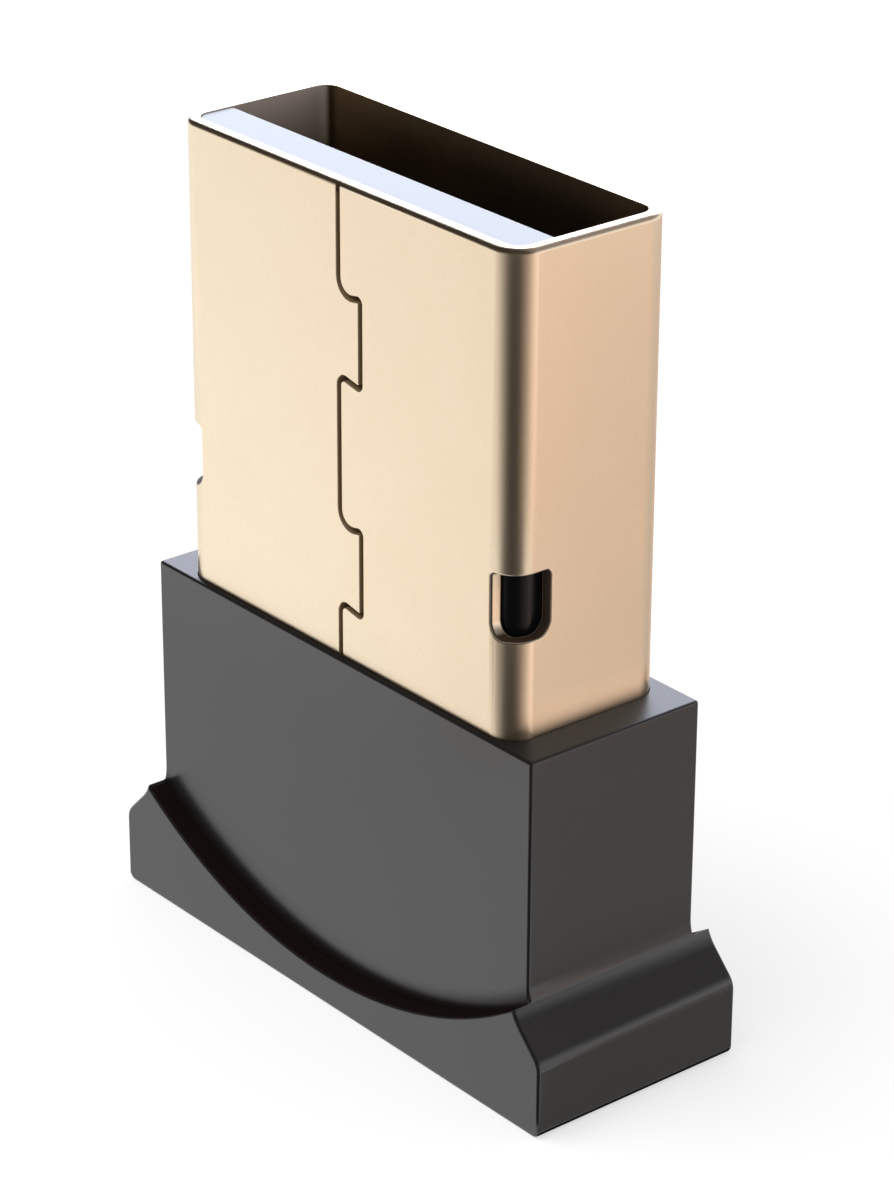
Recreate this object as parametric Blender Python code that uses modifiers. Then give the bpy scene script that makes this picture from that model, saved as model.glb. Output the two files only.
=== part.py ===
# A nano USB Bluetooth adapter: a folded, gold-plated plug shell that stands out of a small
# black moulded housing with a flared, arched skirt.
#
# Frame: +Z up, out of the plug's mouth. The origin is the middle of the housing's base.
# +X runs along the wide faces, and the wide face with the folded seam looks to -Y.

import bmesh
import bpy
from math import atan2, cos, pi, sin, sqrt, tan
from mathutils import Vector

MM = 0.001

# Plug shell, a standard full-size plug folded from one sheet
SHELL_WIDTH = 12.0 * MM
SHELL_DEPTH = 4.5 * MM
SHELL_CORNER_RADIUS = 0.7 * MM
SHEET_THICKNESS = 0.3 * MM
SHELL_EXPOSED = 11.45 * MM
SHELL_INSERTED = 1.75 * MM
RIM_ROUNDING = 0.09 * MM
LEG_WIDTH = 1.0 * MM
LEG_LENGTH = 1.5 * MM

# Dovetail seam down the middle of the wide face
SEAM_GAP = 0.07 * MM
TAB_COUNT = 2
TAB_REACH = 0.77 * MM
TAB_TIP_HEIGHT = 2.13 * MM
TAB_FLARE = 0.12 * MM
TAB_ROOT_RADIUS = 0.27 * MM
TAB_TIP_RADIUS = 0.05 * MM
FIRST_TAB_BELOW_RIM = 3.6 * MM
TAB_PITCH = 5.57 * MM

# Windows that wrap the two corners beside the seam's face
WINDOW_BELOW_RIM = 7.48 * MM
WINDOW_HEIGHT = 1.65 * MM
WINDOW_ON_FACE = 0.69 * MM
WINDOW_ON_SIDE = 1.14 * MM
WINDOW_LOWER_RADIUS = 0.35 * MM
WINDOW_UPPER_RADIUS = 0.12 * MM

# Insulating tongue, its contacts and the block that holds them
TONGUE_THICKNESS = 1.1 * MM
TONGUE_RECESS = 0.03 * MM
TONGUE_CHAMFER = 0.07 * MM
BLOCK_ABOVE_WINDOW = 0.2 * MM
BLOCK_CORNER_RADIUS = 0.55 * MM
BLADE_WIDTH = 1.0 * MM
BLADE_THICKNESS = 0.25 * MM
BLADE_RECESS = 0.05 * MM
BLADE_TIP_RADIUS = 0.2 * MM
TAIL_WIDTH = 0.7 * MM
TAIL_LENGTH = 1.0 * MM
OUTER_PITCH = 7.0 * MM
INNER_PITCH = 2.0 * MM
OUTER_BLADE_FROM_TIP = 0.8 * MM
INNER_BLADE_FROM_TIP = 1.8 * MM

# Moulded housing
FRONT_WALL = 0.14 * MM
BACK_WALL = 0.3 * MM
SIDE_WALL = 0.9 * MM
FLOOR_THICKNESS = 0.8 * MM
SEAT_LEDGE = 0.24 * MM
SKIRT_PROUD = 0.5 * MM
SKIRT_FLARE = 0.98 * MM
SKIRT_BAND_HEIGHT = 1.91 * MM
SKIRT_SLOPE_RISE = 0.99 * MM
SKIRT_EDGE_RADIUS = 0.25 * MM
SKIRT_COVE_RADIUS = 0.8 * MM
ARCH_LOWEST = 0.8 * MM
ARCH_COVE_RADIUS = 0.22 * MM
HOUSING_EDGE_RADIUS = 0.07 * MM

# Circuit board, its seat in the floor, and the parts soldered on it
BOARD_THICKNESS = 0.6 * MM
BOARD_HEIGHT = 6.63 * MM
BOARD_CORNER_RADIUS = 0.3 * MM
BOARD_SLOT_DEPTH = 0.3 * MM
CHIP_LENGTH = 1.0 * MM
CHIP_WIDTH = 0.5 * MM
CHIP_HEIGHT = 0.5 * MM
FILM_HEIGHT = 0.35 * MM
RADIO_SIDE = 3.0 * MM
RADIO_HEIGHT = 0.75 * MM
FLASH_WIDTH = 2.0 * MM
FLASH_LENGTH = 2.6 * MM
FLASH_HEIGHT = 0.6 * MM
CRYSTAL_WIDTH = 2.0 * MM
CRYSTAL_LENGTH = 1.6 * MM
CRYSTAL_HEIGHT = 0.5 * MM
CRYSTAL_SPACING = 0.15 * MM
ANTENNA_LENGTH = 3.2 * MM
ANTENNA_WIDTH = 1.0 * MM
ANTENNA_HEIGHT = 0.9 * MM
REGULATOR_LENGTH = 1.6 * MM
REGULATOR_WIDTH = 1.0 * MM
REGULATOR_HEIGHT = 0.7 * MM
DIODE_WIDTH = 0.6 * MM
DIODE_LENGTH = 0.9 * MM
DIODE_HEIGHT = 0.4 * MM
CHIP_EDGE = 0.04 * MM

# Clearances, and how fine the meshes are welded, compared and stepped
FIT = 0.02 * MM
SEAT_GAP = 0.05 * MM
CUT_PAST = 1.0 * MM
WELD_DISTANCE = 0.0001 * MM
SAME_PLACE = 0.001 * MM
ARCH_STEPS = 44

# Levels and planes that follow from the sizes above
board_bottom = FLOOR_THICKNESS - BOARD_SLOT_DEPTH + FIT
board_top = board_bottom + BOARD_HEIGHT
shell_bottom = board_top + SEAT_GAP
housing_top = shell_bottom + SHELL_INSERTED
rim = housing_top + SHELL_EXPOSED
window_top = rim - WINDOW_BELOW_RIM
window_bottom = window_top - WINDOW_HEIGHT
cavity_floor = window_bottom
block_top = window_top + BLOCK_ABOVE_WINDOW
tongue_tip = rim - TONGUE_RECESS

housing_width = SHELL_WIDTH + 2 * FIT + 2 * SIDE_WALL
housing_depth = SHELL_DEPTH + 2 * FIT + FRONT_WALL + BACK_WALL
shell_front = -housing_depth / 2 + FRONT_WALL + FIT
shell_back = shell_front + SHELL_DEPTH
shell_middle = (shell_front + shell_back) / 2
shell_inside_radius = SHELL_CORNER_RADIUS - SHEET_THICKNESS
tongue_front = shell_front + SHEET_THICKNESS + FIT
tongue_back = tongue_front + TONGUE_THICKNESS
blade_back = tongue_back - BLADE_RECESS
blade_front = blade_back - BLADE_THICKNESS
board_face = blade_front - FIT
board_rear = board_face - BOARD_THICKNESS
insert_width = SHELL_WIDTH - 2 * SHEET_THICKNESS - 2 * FIT
board_width = insert_width - 2 * SEAT_GAP
leg_front = shell_front + SHELL_CORNER_RADIUS

adapter = bpy.data.collections.new("usb_bluetooth_adapter")
cutters = bpy.data.collections.new("cutters")


# Scene and materials

def clear_scene():
    for leftover in list(bpy.data.objects):
        bpy.data.objects.remove(leftover, do_unlink=True)
    bpy.context.scene.collection.children.link(adapter)
    bpy.context.scene.collection.children.link(cutters)


def make_material(name, colour, roughness, metallic=0.0):
    material = bpy.data.materials.new(name)
    material.use_nodes = True
    shader = material.node_tree.nodes["Principled BSDF"]
    shader.inputs["Base Color"].default_value = (*colour, 1.0)
    shader.inputs["Roughness"].default_value = roughness
    shader.inputs["Metallic"].default_value = metallic
    return material


def add_object(name, mesh, collection):
    thing = bpy.data.objects.new(name, mesh)
    collection.objects.link(thing)
    if collection is cutters:
        thing.hide_render = True
        thing.display_type = "WIRE"
    return thing


# Outlines

def rounded_path(corners, steps=6, closed=True):
    # Each corner is (across, up, radius); a corner with no radius stays sharp.
    path = []
    for index, (across, up, radius) in enumerate(corners):
        corner = Vector((across, up))
        at_end = not closed and index in (0, len(corners) - 1)
        if radius == 0 or at_end:
            path.append(corner)
            continue
        before = Vector(corners[index - 1][:2]) - corner
        after = Vector(corners[(index + 1) % len(corners)][:2]) - corner
        opening = before.angle(after)
        reach = radius / tan(opening / 2)
        inward = (before.normalized() + after.normalized()).normalized()
        centre = corner + inward * radius / sin(opening / 2)
        start = corner + before.normalized() * reach - centre
        end = corner + after.normalized() * reach - centre
        turn = atan2(start.x * end.y - start.y * end.x, start.dot(end))
        first = atan2(start.y, start.x)
        for step in range(steps + 1):
            angle = first + turn * step / steps
            path.append(centre + Vector((cos(angle), sin(angle))) * radius)
    return path


def rectangle(width, depth, radius, middle=(0.0, 0.0)):
    x, y = middle
    return [
        (x - width / 2, y - depth / 2, radius),
        (x + width / 2, y - depth / 2, radius),
        (x + width / 2, y + depth / 2, radius),
        (x - width / 2, y + depth / 2, radius),
    ]


def curve_to_mesh(curve_object, collection):
    graph = bpy.context.evaluated_depsgraph_get()
    mesh = bpy.data.meshes.new_from_object(curve_object.evaluated_get(graph))
    welded = bmesh.new()
    welded.from_mesh(mesh)
    bmesh.ops.remove_doubles(welded, verts=welded.verts, dist=WELD_DISTANCE)
    welded.to_mesh(mesh)
    welded.free()
    thing = add_object(curve_object.name + "_body", mesh, collection)
    thing.matrix_world = curve_object.matrix_world.copy()
    name = curve_object.name
    bpy.data.objects.remove(curve_object, do_unlink=True)
    thing.name = name
    return thing


def outline_curve(name, path, half_extrude, filled, closed, collection):
    curve = bpy.data.curves.new(name, "CURVE")
    curve.dimensions = "2D"
    curve.fill_mode = "BOTH" if filled else "NONE"
    curve.extrude = half_extrude
    spline = curve.splines.new("POLY")
    spline.points.add(len(path) - 1)
    for point, place in zip(spline.points, path):
        point.co = (place.x, place.y, 0.0, 1.0)
    spline.use_cyclic_u = closed
    return add_object(name, curve, collection)


def upright(name, path, low, high, collection=adapter):
    # A plan outline (x, y) raised from one level to another.
    thing = outline_curve(name, path, (high - low) / 2, True, True, collection)
    thing.location.z = (low + high) / 2
    bpy.context.view_layer.update()
    return curve_to_mesh(thing, collection)


def facing(name, path, front, back, collection=adapter):
    # A front-view outline (x, z) carried through from one y to another.
    thing = outline_curve(name, path, (back - front) / 2, True, True, collection)
    thing.rotation_euler.x = pi / 2
    thing.location.y = (front + back) / 2
    bpy.context.view_layer.update()
    return curve_to_mesh(thing, collection)


def sideways(name, path, width, collection=adapter):
    # A side-view outline (y, z) carried across the whole width.
    thing = outline_curve(name, path, width / 2, True, True, collection)
    thing.rotation_euler = (pi / 2, 0.0, pi / 2)
    bpy.context.view_layer.update()
    return curve_to_mesh(thing, collection)


def box(name, low, high, collection=adapter):
    size = [end - start for start, end in zip(low, high)]
    mesh = bpy.data.meshes.new(name)
    shape = bmesh.new()
    bmesh.ops.create_cube(shape, size=1.0)
    bmesh.ops.scale(shape, vec=size, verts=shape.verts)
    shape.to_mesh(mesh)
    shape.free()
    thing = add_object(name, mesh, collection)
    thing.location = [(start + end) / 2 for start, end in zip(low, high)]
    return thing


def round_edges(thing, wanted, radius, steps):
    # Rounds the edges whose two ends both pass a test in the object's own coordinates.
    shape = bmesh.new()
    shape.from_mesh(thing.data)
    edges = [edge for edge in shape.edges if wanted(edge.verts[0].co, edge.verts[1].co)]
    bmesh.ops.bevel(
        shape, geom=edges, offset=radius, offset_type="OFFSET", segments=steps,
        profile=0.5, affect="EDGES", clamp_overlap=True,
    )
    shape.to_mesh(thing.data)
    shape.free()


def cut(thing, tools):
    # All the cutters of one piece work together, in a group of their own.
    group = bpy.data.collections.new(thing.name + "_cutters")
    cutters.children.link(group)
    for tool in tools:
        cutters.objects.unlink(tool)
        group.objects.link(tool)
    modifier = thing.modifiers.new("cuts", "BOOLEAN")
    modifier.operation = "DIFFERENCE"
    modifier.solver = "EXACT"
    modifier.operand_type = "COLLECTION"
    modifier.collection = group


def near(value, target):
    return abs(value - target) < SAME_PLACE


# Plug shell

def seam_path():
    path = [(0.0, rim + CUT_PAST, 0.0)]
    for number in range(TAB_COUNT):
        middle = rim - FIRST_TAB_BELOW_RIM - number * TAB_PITCH
        tip = TAB_TIP_HEIGHT / 2
        root = tip - TAB_FLARE
        path += [
            (0.0, middle + root, TAB_ROOT_RADIUS),
            (TAB_REACH, middle + tip, TAB_TIP_RADIUS),
            (TAB_REACH, middle - tip, TAB_TIP_RADIUS),
            (0.0, middle - root, TAB_ROOT_RADIUS),
        ]
    path.append((0.0, min(shell_bottom, middle - tip) - CUT_PAST, 0.0))
    return path


def make_seam_cutter():
    thing = outline_curve(
        "seam_cutter", rounded_path(seam_path(), steps=5, closed=False),
        SHEET_THICKNESS, False, False, cutters,
    )
    thing.rotation_euler.x = pi / 2
    thing.location.y = shell_front + SHEET_THICKNESS / 2
    bpy.context.view_layer.update()
    ribbon = curve_to_mesh(thing, cutters)
    thickness = ribbon.modifiers.new("gap", "SOLIDIFY")
    thickness.thickness = SEAM_GAP
    thickness.offset = 0.0
    thickness.use_even_offset = True
    return ribbon


def make_window_cutter(name, side):
    # side is +1 for the corner at +X and -1 for the one at -X.
    inner = side * (SHELL_WIDTH / 2 - WINDOW_ON_FACE)
    outer = side * (SHELL_WIDTH / 2 + CUT_PAST)
    back = shell_front + WINDOW_ON_SIDE
    thing = box(
        name, (min(inner, outer), shell_front - CUT_PAST, window_bottom),
        (max(inner, outer), back, window_top), cutters,
    )
    half_height = WINDOW_HEIGHT / 2
    half_width = abs(outer - inner) / 2
    half_depth = (WINDOW_ON_SIDE + CUT_PAST) / 2

    def inside_edge(level):
        def wanted(first, second):
            on_level = near(first.z, level) and near(second.z, level)
            on_face = near(first.x, -side * half_width) and near(second.x, -side * half_width)
            on_side = near(first.y, half_depth) and near(second.y, half_depth)
            return on_level and (on_face or on_side)
        return wanted

    round_edges(thing, inside_edge(-half_height), WINDOW_LOWER_RADIUS, 5)
    round_edges(thing, inside_edge(half_height), WINDOW_UPPER_RADIUS, 3)
    return thing


def make_plug_shell(material):
    # The sheet is an open ribbon round the plug, thickened inwards.
    outline = rectangle(SHELL_WIDTH, SHELL_DEPTH, SHELL_CORNER_RADIUS, (0.0, shell_middle))
    plan = rounded_path(outline, steps=8)
    low = shell_bottom - LEG_LENGTH
    ribbon = outline_curve("plug_shell", plan, (rim - low) / 2, False, True, adapter)
    ribbon.location.z = (rim + low) / 2
    bpy.context.view_layer.update()
    shell = curve_to_mesh(ribbon, adapter)
    sheet = shell.modifiers.new("sheet", "SOLIDIFY")
    sheet.thickness = SHEET_THICKNESS
    sheet.offset = -1.0
    sheet.use_even_offset = True
    graph = bpy.context.evaluated_depsgraph_get()
    solid = bpy.data.meshes.new_from_object(shell.evaluated_get(graph))
    shell.modifiers.remove(sheet)
    shell.data = solid

    half_height = (rim - low) / 2

    def outer_rim(first, second):
        for end in (first, second):
            from_side = SHELL_WIDTH / 2 - abs(end.x)
            from_face = SHELL_DEPTH / 2 - abs(end.y - shell_middle)
            if not near(end.z, half_height):
                return False
            in_corner = from_side < SHELL_CORNER_RADIUS and from_face < SHELL_CORNER_RADIUS
            if in_corner:
                corner_x = SHELL_CORNER_RADIUS - from_side
                corner_y = SHELL_CORNER_RADIUS - from_face
                if not near(sqrt(corner_x ** 2 + corner_y ** 2), SHELL_CORNER_RADIUS):
                    return False
            elif not (near(from_side, 0.0) or near(from_face, 0.0)):
                return False
        return True

    round_edges(shell, outer_rim, RIM_ROUNDING, 3)
    shell.data.materials.append(material)

    # Below the seat only two solder legs go on, one on each narrow side.
    reach = SHELL_WIDTH / 2 + CUT_PAST
    front_cutter = box(
        "leg_front_cutter", (-reach, shell_front - CUT_PAST, low - CUT_PAST),
        (reach, leg_front, shell_bottom), cutters,
    )
    back_cutter = box(
        "leg_back_cutter", (-reach, leg_front + LEG_WIDTH, low - CUT_PAST),
        (reach, shell_back + CUT_PAST, shell_bottom), cutters,
    )
    right_window = make_window_cutter("window_cutter_right", 1)
    left_window = make_window_cutter("window_cutter_left", -1)
    cut(shell, [front_cutter, back_cutter, right_window, left_window, make_seam_cutter()])
    return shell


# Tongue, contacts and the block behind the windows

def blade_places():
    # Name, x, and how far the blade's end stays behind the tongue's tip.
    return [
        ("contact_vbus", OUTER_PITCH / 2, OUTER_BLADE_FROM_TIP),
        ("contact_data_minus", INNER_PITCH / 2, INNER_BLADE_FROM_TIP),
        ("contact_data_plus", -INNER_PITCH / 2, INNER_BLADE_FROM_TIP),
        ("contact_ground", -OUTER_PITCH / 2, OUTER_BLADE_FROM_TIP),
    ]


def make_blade(name, x, from_tip, material):
    high = tongue_tip - from_tip
    low = board_top - TAIL_LENGTH
    shoulder = board_top + SEAT_GAP + FIT
    half = BLADE_WIDTH / 2
    tail = TAIL_WIDTH / 2
    corners = [
        (x - tail, low, 0.0),
        (x + tail, low, 0.0),
        (x + tail, shoulder, 0.0),
        (x + half, shoulder + (half - tail), 0.0),
        (x + half, high, BLADE_TIP_RADIUS),
        (x - half, high, BLADE_TIP_RADIUS),
        (x - half, shoulder + (half - tail), 0.0),
        (x - tail, shoulder, 0.0),
    ]
    blade = facing(name, rounded_path(corners, steps=4), blade_front, blade_back)
    blade.data.materials.append(material)
    return blade


def groove_cutter(name, x, high, low):
    reach = BLADE_WIDTH / 2 + FIT
    return box(
        name, (x - reach, blade_front - FIT, low),
        (x + reach, tongue_back + SEAT_GAP, high), cutters,
    )


def make_tongue(material):
    front = tongue_front
    back = tongue_back
    low = block_top + FIT
    half = insert_width / 2
    corner = shell_inside_radius + FIT
    plan = [(-half, front, corner), (half, front, corner), (half, back, 0.0), (-half, back, 0.0)]
    tongue = upright("contact_tongue", rounded_path(plan, steps=5), low, tongue_tip)
    half_height = (tongue_tip - low) / 2

    def mouth_edge(first, second):
        at_tip = near(first.z, half_height) and near(second.z, half_height)
        return at_tip and near(first.y, back) and near(second.y, back)

    round_edges(tongue, mouth_edge, TONGUE_CHAMFER, 2)
    tongue.data.materials.append(material)
    grooves = []
    for name, x, from_tip in blade_places():
        high = tongue_tip - from_tip + FIT
        grooves.append(groove_cutter(name + "_groove", x, high, low - CUT_PAST))
    cut(tongue, grooves)
    return tongue


def make_retainer(material):
    front = tongue_front
    back = shell_back - SHEET_THICKNESS - FIT
    low = shell_bottom
    side = [
        (front, low, 0.0),
        (back, low, 0.0),
        (back, cavity_floor, 0.0),
        (tongue_back, cavity_floor, 0.0),
        (tongue_back, block_top, 0.0),
        (front, block_top, 0.0),
    ]
    retainer = sideways("rear_retainer", rounded_path(side), insert_width)

    def corner_at(place):
        # The outline's own x is the world's y.
        def wanted(first, second):
            upright_edge = near(first.x, second.x) and near(first.z, second.z)
            return upright_edge and near(first.x, place) and not near(first.y, second.y)
        return wanted

    round_edges(retainer, corner_at(front), BLOCK_CORNER_RADIUS, 6)
    round_edges(retainer, corner_at(back), shell_inside_radius + FIT, 5)
    retainer.data.materials.append(material)
    slots = []
    for name, x, from_tip in blade_places():
        slots.append(groove_cutter(name + "_slot", x, block_top + CUT_PAST, low - CUT_PAST))
    cut(retainer, slots)
    return retainer


# Housing

def housing_outline():
    half = housing_width / 2
    foot = half + SKIRT_FLARE
    slope_top = SKIRT_BAND_HEIGHT + SKIRT_SLOPE_RISE
    right = [
        (foot, 0.0, SKIRT_EDGE_RADIUS),
        (foot, SKIRT_BAND_HEIGHT, SKIRT_EDGE_RADIUS),
        (half, slope_top, SKIRT_COVE_RADIUS),
        (half, housing_top, HOUSING_EDGE_RADIUS),
    ]
    left = [(-x, z, radius) for x, z, radius in reversed(right)]
    return right + left


def arch_level(x):
    # The skirt's top edge is one arc: it starts where the slopes meet the body's sides
    # and sinks to its lowest point in the middle.
    half = housing_width / 2
    sag = SKIRT_BAND_HEIGHT + SKIRT_SLOPE_RISE - ARCH_LOWEST
    radius = (half ** 2 + sag ** 2) / (2 * sag)
    return ARCH_LOWEST + radius - sqrt(radius ** 2 - x ** 2)


def make_arch_cutter(name, plane, outward):
    # Takes the skirt's extra depth away above the arch. outward is -1 in front and +1 behind.
    reach = housing_width / 2 + SKIRT_FLARE
    stride = 2 * reach / ARCH_STEPS
    places = [step * stride - reach for step in range(ARCH_STEPS + 1)]
    path = [Vector((x, arch_level(x))) for x in places]
    path += [Vector((reach, housing_top + CUT_PAST)), Vector((-reach, housing_top + CUT_PAST))]
    far = plane + outward * (SKIRT_PROUD + CUT_PAST)
    cutter = facing(name, path, min(plane, far), max(plane, far), cutters)
    # The curve's own z is the world's -y, so the plane of the body lies at this local level.
    level = outward * (SKIRT_PROUD + CUT_PAST) / 2

    def inner_arch(first, second):
        on_plane = near(first.z, level) and near(second.z, level)
        on_arch = all(near(end.y, arch_level(end.x)) for end in (first, second))
        return on_plane and on_arch and near(abs(first.x - second.x), stride)

    round_edges(cutter, inner_arch, ARCH_COVE_RADIUS, 4)
    return cutter


def make_housing(material):
    depth = housing_depth + 2 * SKIRT_PROUD
    housing = facing("housing", rounded_path(housing_outline(), steps=7), -depth / 2, depth / 2)
    housing.data.materials.append(material)
    front_arch = make_arch_cutter("arch_cutter_front", -housing_depth / 2, -1)
    back_arch = make_arch_cutter("arch_cutter_back", housing_depth / 2, 1)

    # The plug's end drops into the upper pocket and seats on its ledges. The board reaches
    # down through the lower pocket and stands in a slot in the floor.
    width = SHELL_WIDTH + 2 * FIT
    middle = (0.0, shell_middle)
    upper_plan = rectangle(width, SHELL_DEPTH + 2 * FIT, SHELL_CORNER_RADIUS + FIT, middle)
    lower_plan = rectangle(width, SHELL_DEPTH - 2 * SEAT_LEDGE, SHELL_CORNER_RADIUS, middle)
    upper = upright(
        "plug_pocket", rounded_path(upper_plan),
        shell_bottom - FIT, housing_top + CUT_PAST, cutters,
    )
    lower = upright(
        "board_pocket", rounded_path(lower_plan),
        FLOOR_THICKNESS, shell_bottom + SHELL_INSERTED / 2, cutters,
    )
    half_board = board_width / 2 + FIT
    slot = box(
        "board_slot", (-half_board, board_rear - FIT, FLOOR_THICKNESS - BOARD_SLOT_DEPTH),
        (half_board, board_face + FIT, FLOOR_THICKNESS + CUT_PAST), cutters,
    )
    cut(housing, [front_arch, back_arch, upper, lower, slot])
    return housing


# Circuit board and what is soldered on it

def make_board(material):
    middle = (0.0, board_bottom + BOARD_HEIGHT / 2)
    outline = rounded_path(rectangle(board_width, BOARD_HEIGHT, BOARD_CORNER_RADIUS, middle), steps=4)
    board = facing("circuit_board", outline, board_rear, board_face)
    board.data.materials.append(material)
    return board


def make_chip(name, place, size, material):
    # place is the middle's (x, z) on the board's face, and size is (x, z, height off the board).
    x, z = place
    width, length, height = size
    foot = board_face + FIT
    chip = box(
        name, (x - width / 2, foot, z - length / 2),
        (x + width / 2, foot + height, z + length / 2),
    )
    top = height / 2
    round_edges(chip, lambda first, second: near(first.y, top) and near(second.y, top), CHIP_EDGE, 1)
    chip.data.materials.append(material)
    return chip


def spread(widths):
    # Middles of pieces of these widths, set out evenly from one end of the board to the other.
    gap = (board_width - sum(widths)) / (len(widths) + 1)
    places = []
    edge = -board_width / 2
    for width in widths:
        places.append(edge + gap + width / 2)
        edge += gap + width
    return places


def make_board_parts():
    epoxy = make_material("black_epoxy", (0.02, 0.02, 0.022), 0.45)
    can = make_material("plated_can", (0.75, 0.74, 0.7), 0.3, 1.0)
    ceramic = make_material("white_ceramic", (0.75, 0.78, 0.8), 0.4)
    brown = make_material("capacitor_ceramic", (0.35, 0.25, 0.17), 0.5)
    dark = make_material("resistor_film", (0.03, 0.03, 0.04), 0.5)
    lying = (CHIP_LENGTH, CHIP_WIDTH, CHIP_HEIGHT)
    standing = (CHIP_WIDTH, CHIP_LENGTH, CHIP_HEIGHT)

    # Three rows fill the height below the contacts' ends: the antenna's row farthest from
    # the plug, the radio's row, and the row between the contacts' tails.
    free = (board_top - FLOOR_THICKNESS - ANTENNA_WIDTH - RADIO_SIDE - TAIL_LENGTH) / 4
    low = FLOOR_THICKNESS + free + ANTENNA_WIDTH / 2
    middle = low + ANTENNA_WIDTH / 2 + free + RADIO_SIDE / 2
    high = board_top - TAIL_LENGTH / 2

    antenna_row = [
        ("voltage_regulator", (REGULATOR_LENGTH, REGULATOR_WIDTH, REGULATOR_HEIGHT), epoxy),
        ("capacitor_supply", lying, brown),
        ("capacitor_matching", lying, brown),
        ("matching_inductor", lying, ceramic),
        ("chip_antenna", (ANTENNA_LENGTH, ANTENNA_WIDTH, ANTENNA_HEIGHT), ceramic),
    ]
    radio_row = [
        ("flash_memory", (FLASH_WIDTH, FLASH_LENGTH, FLASH_HEIGHT), epoxy),
        ("radio_chip", (RADIO_SIDE, RADIO_SIDE, RADIO_HEIGHT), epoxy),
        ("crystal", (CRYSTAL_WIDTH, CRYSTAL_LENGTH, CRYSTAL_HEIGHT), can),
        ("capacitor_core", standing, brown),
    ]
    for row, z in ((antenna_row, low), (radio_row, middle)):
        places = spread([size[0] for name, size, material in row])
        for (name, size, material), x in zip(row, places):
            make_chip(name, (x, z), size, material)
            if name == "crystal":
                away = CRYSTAL_LENGTH / 2 + CRYSTAL_SPACING + CHIP_WIDTH / 2
                make_chip("capacitor_crystal_low", (x, z - away), lying, brown)
                make_chip("capacitor_crystal_high", (x, z + away), lying, brown)

    # The small parts of the top row stand in the spaces between and beside the tails.
    between = (OUTER_PITCH + INNER_PITCH) / 4
    beside = (OUTER_PITCH / 2 + TAIL_WIDTH / 2 + board_width / 2) / 2
    film = (CHIP_LENGTH, CHIP_WIDTH, FILM_HEIGHT)
    make_chip("surge_diode", (0.0, high), (DIODE_WIDTH, DIODE_LENGTH, DIODE_HEIGHT), epoxy)
    make_chip("resistor_data_minus", (between, high), film, dark)
    make_chip("resistor_data_plus", (-between, high), film, dark)
    make_chip("ferrite_bead", (beside, high), standing, dark)


def build():
    clear_scene()
    gold = make_material("gold_plate", (0.84, 0.7, 0.52), 0.3, 1.0)
    contact_gold = make_material("contact_gold", (0.9, 0.72, 0.35), 0.22, 1.0)
    white = make_material("white_plastic", (0.82, 0.85, 0.9), 0.35)
    black = make_material("black_plastic", (0.03, 0.03, 0.031), 0.42)
    inner_black = make_material("inner_black_plastic", (0.015, 0.015, 0.016), 0.35)
    green = make_material("board_laminate", (0.01, 0.09, 0.04), 0.35)
    make_plug_shell(gold)
    make_tongue(white)
    make_retainer(inner_black)
    for name, x, from_tip in blade_places():
        make_blade(name, x, from_tip, contact_gold)
    make_housing(black)
    make_board(green)
    make_board_parts()


build()
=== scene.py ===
import math

import bmesh
import bpy
from mathutils import Matrix, Vector


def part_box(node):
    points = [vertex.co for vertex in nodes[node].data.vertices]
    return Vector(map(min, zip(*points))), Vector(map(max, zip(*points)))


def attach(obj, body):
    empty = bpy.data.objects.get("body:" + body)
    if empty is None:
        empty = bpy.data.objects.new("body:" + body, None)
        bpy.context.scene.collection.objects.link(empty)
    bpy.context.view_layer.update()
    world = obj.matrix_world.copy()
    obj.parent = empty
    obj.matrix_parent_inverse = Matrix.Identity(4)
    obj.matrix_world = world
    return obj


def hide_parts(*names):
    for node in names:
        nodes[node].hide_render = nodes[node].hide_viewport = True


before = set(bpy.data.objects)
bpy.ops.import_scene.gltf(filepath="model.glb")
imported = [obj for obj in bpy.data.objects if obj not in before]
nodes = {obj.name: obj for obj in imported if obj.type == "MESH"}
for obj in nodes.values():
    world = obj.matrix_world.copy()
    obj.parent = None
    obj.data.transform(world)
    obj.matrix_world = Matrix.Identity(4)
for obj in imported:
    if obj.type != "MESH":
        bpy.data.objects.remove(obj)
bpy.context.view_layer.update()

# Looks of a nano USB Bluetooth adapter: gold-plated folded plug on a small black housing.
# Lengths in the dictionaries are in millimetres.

mm = 0.001
samePlace = 0.002 * mm
mergeWithin = 0.003 * mm
shortestEdge = 0.0005 * mm
leastRadius = 0.0001 * mm  # in place of none, where a node needs one
toolPast = 1 * mm  # how far a cutting tool reaches past what it cuts
sharpAngle = 35  # degrees, from which an edge stays sharp
shellLow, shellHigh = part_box("plug_shell")
housingLow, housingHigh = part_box("housing")
tongueLow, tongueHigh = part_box("contact_tongue")
retainerLow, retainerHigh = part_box("rear_retainer")
print("frame loaded,", len(nodes), "nodes")


# Camera

cameraView = dict(
    azimuth=50.476,  # degrees round from the seam's face towards +X
    elevation=24.85, roll=0.27, distance=93.675, aimAcross=0.635, aimUp=9.664,
    lens=120.86, sensor=36, nearest=1, farthest=10000,
)


def direction(azimuth, elevation):
    turn, lift = math.radians(azimuth), math.radians(elevation)
    return Vector((math.sin(turn) * math.cos(lift), -math.cos(turn) * math.cos(lift), math.sin(lift)))


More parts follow.
